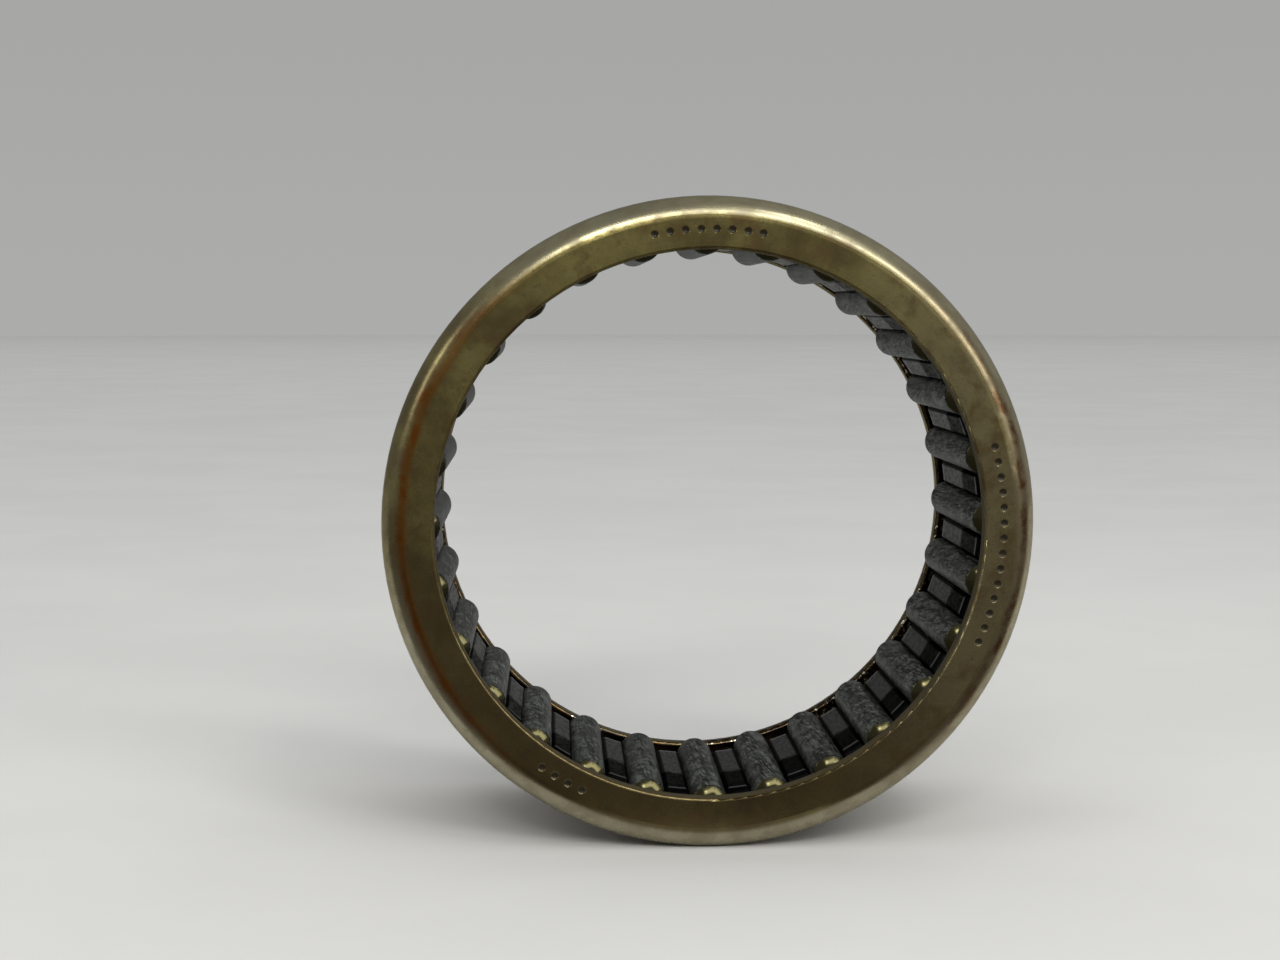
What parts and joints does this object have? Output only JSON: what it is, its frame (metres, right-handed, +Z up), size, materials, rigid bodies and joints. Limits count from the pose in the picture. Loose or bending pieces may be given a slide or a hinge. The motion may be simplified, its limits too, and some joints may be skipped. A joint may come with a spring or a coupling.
{
  "type": "needle roller bearing",
  "caption": "Drawn-cup needle roller bearing, open at both ends, with a stamped cage; carries radial load between a housing bore and a shaft.",
  "frame": {"origin": "middle of the bearing, on its axis, halfway between its two end faces", "axes": "+Y along the bearing's axis, from the face with the flat lip (-Y) to the face with the curled lip (+Y); +Z up; +X to the right seen from the flat-lip face"},
  "size_m": [0.054, 0.0254, 0.054],
  "materials": {
    "cup_steel": "drawn, case-hardened steel under a film of amber oil, satin to glossy",
    "cage_steel": "dark stamped steel, oily, satin",
    "roller_steel": "dark hardened steel smeared with grey grease, bright at the rounded ends"
  },
  "bodies": {
    "cup": {"cup": "cup_steel"},
    "cage": {"cage": "cage_steel"},
    "roller_01": {"roller_01": "roller_steel"},
    "roller_02": {"roller_02": "roller_steel"},
    "roller_03": {"roller_03": "roller_steel"},
    "roller_04": {"roller_04": "roller_steel"},
    "roller_05": {"roller_05": "roller_steel"},
    "roller_06": {"roller_06": "roller_steel"},
    "roller_07": {"roller_07": "roller_steel"},
    "roller_08": {"roller_08": "roller_steel"},
    "roller_09": {"roller_09": "roller_steel"},
    "roller_10": {"roller_10": "roller_steel"},
    "roller_11": {"roller_11": "roller_steel"},
    "roller_12": {"roller_12": "roller_steel"},
    "roller_13": {"roller_13": "roller_steel"},
    "roller_14": {"roller_14": "roller_steel"},
    "roller_15": {"roller_15": "roller_steel"},
    "roller_16": {"roller_16": "roller_steel"},
    "roller_17": {"roller_17": "roller_steel"},
    "roller_18": {"roller_18": "roller_steel"},
    "roller_19": {"roller_19": "roller_steel"},
    "roller_20": {"roller_20": "roller_steel"},
    "roller_21": {"roller_21": "roller_steel"},
    "roller_22": {"roller_22": "roller_steel"},
    "roller_23": {"roller_23": "roller_steel"},
    "roller_24": {"roller_24": "roller_steel"},
    "roller_25": {"roller_25": "roller_steel"},
    "roller_26": {"roller_26": "roller_steel"},
    "roller_27": {"roller_27": "roller_steel"},
    "roller_28": {"roller_28": "roller_steel"}
  },
  "joints": [
    {"name": "cage_orbit", "type": "hinge", "parent": "cup", "child": "cage", "pos_m": [0, 0, 0], "axis": [0, 1, 0], "continuous": true},
    {"name": "roller_01_spin", "type": "hinge", "parent": "cage", "child": "roller_01", "pos_m": [0.02381, 0, 0.00021], "axis": [0, 1, 0], "continuous": true},
    {"name": "roller_02_spin", "type": "hinge", "parent": "cage", "child": "roller_02", "pos_m": [0.02317, 0, 0.0055], "axis": [0, 1, 0], "continuous": true},
    {"name": "roller_03_spin", "type": "hinge", "parent": "cage", "child": "roller_03", "pos_m": [0.02136, 0, 0.01052], "axis": [0, 1, 0], "continuous": true},
    {"name": "roller_04_spin", "type": "hinge", "parent": "cage", "child": "roller_04", "pos_m": [0.01849, 0, 0.01501], "axis": [0, 1, 0], "continuous": true},
    {"name": "roller_05_spin", "type": "hinge", "parent": "cage", "child": "roller_05", "pos_m": [0.01468, 0, 0.01875], "axis": [0, 1, 0], "continuous": true},
    {"name": "roller_06_spin", "type": "hinge", "parent": "cage", "child": "roller_06", "pos_m": [0.01014, 0, 0.02154], "axis": [0, 1, 0], "continuous": true},
    {"name": "roller_07_spin", "type": "hinge", "parent": "cage", "child": "roller_07", "pos_m": [0.0051, 0, 0.02326], "axis": [0, 1, 0], "continuous": true},
    {"name": "roller_08_spin", "type": "hinge", "parent": "cage", "child": "roller_08", "pos_m": [-0.00021, 0, 0.02381], "axis": [0, 1, 0], "continuous": true},
    {"name": "roller_09_spin", "type": "hinge", "parent": "cage", "child": "roller_09", "pos_m": [-0.0055, 0, 0.02317], "axis": [0, 1, 0], "continuous": true},
    {"name": "roller_10_spin", "type": "hinge", "parent": "cage", "child": "roller_10", "pos_m": [-0.01052, 0, 0.02136], "axis": [0, 1, 0], "continuous": true},
    {"name": "roller_11_spin", "type": "hinge", "parent": "cage", "child": "roller_11", "pos_m": [-0.01501, 0, 0.01849], "axis": [0, 1, 0], "continuous": true},
    {"name": "roller_12_spin", "type": "hinge", "parent": "cage", "child": "roller_12", "pos_m": [-0.01875, 0, 0.01468], "axis": [0, 1, 0], "continuous": true},
    {"name": "roller_13_spin", "type": "hinge", "parent": "cage", "child": "roller_13", "pos_m": [-0.02154, 0, 0.01014], "axis": [0, 1, 0], "continuous": true},
    {"name": "roller_14_spin", "type": "hinge", "parent": "cage", "child": "roller_14", "pos_m": [-0.02326, 0, 0.0051], "axis": [0, 1, 0], "continuous": true},
    {"name": "roller_15_spin", "type": "hinge", "parent": "cage", "child": "roller_15", "pos_m": [-0.02381, 0, -0.00021], "axis": [0, 1, 0], "continuous": true},
    {"name": "roller_16_spin", "type": "hinge", "parent": "cage", "child": "roller_16", "pos_m": [-0.02317, 0, -0.0055], "axis": [0, 1, 0], "continuous": true},
    {"name": "roller_17_spin", "type": "hinge", "parent": "cage", "child": "roller_17", "pos_m": [-0.02136, 0, -0.01052], "axis": [0, 1, 0], "continuous": true},
    {"name": "roller_18_spin", "type": "hinge", "parent": "cage", "child": "roller_18", "pos_m": [-0.01849, 0, -0.01501], "axis": [0, 1, 0], "continuous": true},
    {"name": "roller_19_spin", "type": "hinge", "parent": "cage", "child": "roller_19", "pos_m": [-0.01468, 0, -0.01875], "axis": [0, 1, 0], "continuous": true},
    {"name": "roller_20_spin", "type": "hinge", "parent": "cage", "child": "roller_20", "pos_m": [-0.01014, 0, -0.02154], "axis": [0, 1, 0], "continuous": true},
    {"name": "roller_21_spin", "type": "hinge", "parent": "cage", "child": "roller_21", "pos_m": [-0.0051, 0, -0.02326], "axis": [0, 1, 0], "continuous": true},
    {"name": "roller_22_spin", "type": "hinge", "parent": "cage", "child": "roller_22", "pos_m": [0.00021, 0, -0.02381], "axis": [0, 1, 0], "continuous": true},
    {"name": "roller_23_spin", "type": "hinge", "parent": "cage", "child": "roller_23", "pos_m": [0.0055, 0, -0.02317], "axis": [0, 1, 0], "continuous": true},
    {"name": "roller_24_spin", "type": "hinge", "parent": "cage", "child": "roller_24", "pos_m": [0.01052, 0, -0.02136], "axis": [0, 1, 0], "continuous": true},
    {"name": "roller_25_spin", "type": "hinge", "parent": "cage", "child": "roller_25", "pos_m": [0.01501, 0, -0.01849], "axis": [0, 1, 0], "continuous": true},
    {"name": "roller_26_spin", "type": "hinge", "parent": "cage", "child": "roller_26", "pos_m": [0.01875, 0, -0.01468], "axis": [0, 1, 0], "continuous": true},
    {"name": "roller_27_spin", "type": "hinge", "parent": "cage", "child": "roller_27", "pos_m": [0.02154, 0, -0.01014], "axis": [0, 1, 0], "continuous": true},
    {"name": "roller_28_spin", "type": "hinge", "parent": "cage", "child": "roller_28", "pos_m": [0.02326, 0, -0.0051], "axis": [0, 1, 0], "continuous": true}
  ],
  "couplings": [
    {"joint": "roller_01_spin", "follows": "cage_orbit", "ratio": -16},
    {"joint": "roller_02_spin", "follows": "cage_orbit", "ratio": -16},
    {"joint": "roller_03_spin", "follows": "cage_orbit", "ratio": -16},
    {"joint": "roller_04_spin", "follows": "cage_orbit", "ratio": -16},
    {"joint": "roller_05_spin", "follows": "cage_orbit", "ratio": -16},
    {"joint": "roller_06_spin", "follows": "cage_orbit", "ratio": -16},
    {"joint": "roller_07_spin", "follows": "cage_orbit", "ratio": -16},
    {"joint": "roller_08_spin", "follows": "cage_orbit", "ratio": -16},
    {"joint": "roller_09_spin", "follows": "cage_orbit", "ratio": -16},
    {"joint": "roller_10_spin", "follows": "cage_orbit", "ratio": -16},
    {"joint": "roller_11_spin", "follows": "cage_orbit", "ratio": -16},
    {"joint": "roller_12_spin", "follows": "cage_orbit", "ratio": -16},
    {"joint": "roller_13_spin", "follows": "cage_orbit", "ratio": -16},
    {"joint": "roller_14_spin", "follows": "cage_orbit", "ratio": -16},
    {"joint": "roller_15_spin", "follows": "cage_orbit", "ratio": -16},
    {"joint": "roller_16_spin", "follows": "cage_orbit", "ratio": -16},
    {"joint": "roller_17_spin", "follows": "cage_orbit", "ratio": -16},
    {"joint": "roller_18_spin", "follows": "cage_orbit", "ratio": -16},
    {"joint": "roller_19_spin", "follows": "cage_orbit", "ratio": -16},
    {"joint": "roller_20_spin", "follows": "cage_orbit", "ratio": -16},
    {"joint": "roller_21_spin", "follows": "cage_orbit", "ratio": -16},
    {"joint": "roller_22_spin", "follows": "cage_orbit", "ratio": -16},
    {"joint": "roller_23_spin", "follows": "cage_orbit", "ratio": -16},
    {"joint": "roller_24_spin", "follows": "cage_orbit", "ratio": -16},
    {"joint": "roller_25_spin", "follows": "cage_orbit", "ratio": -16},
    {"joint": "roller_26_spin", "follows": "cage_orbit", "ratio": -16},
    {"joint": "roller_27_spin", "follows": "cage_orbit", "ratio": -16},
    {"joint": "roller_28_spin", "follows": "cage_orbit", "ratio": -16}
  ]
}
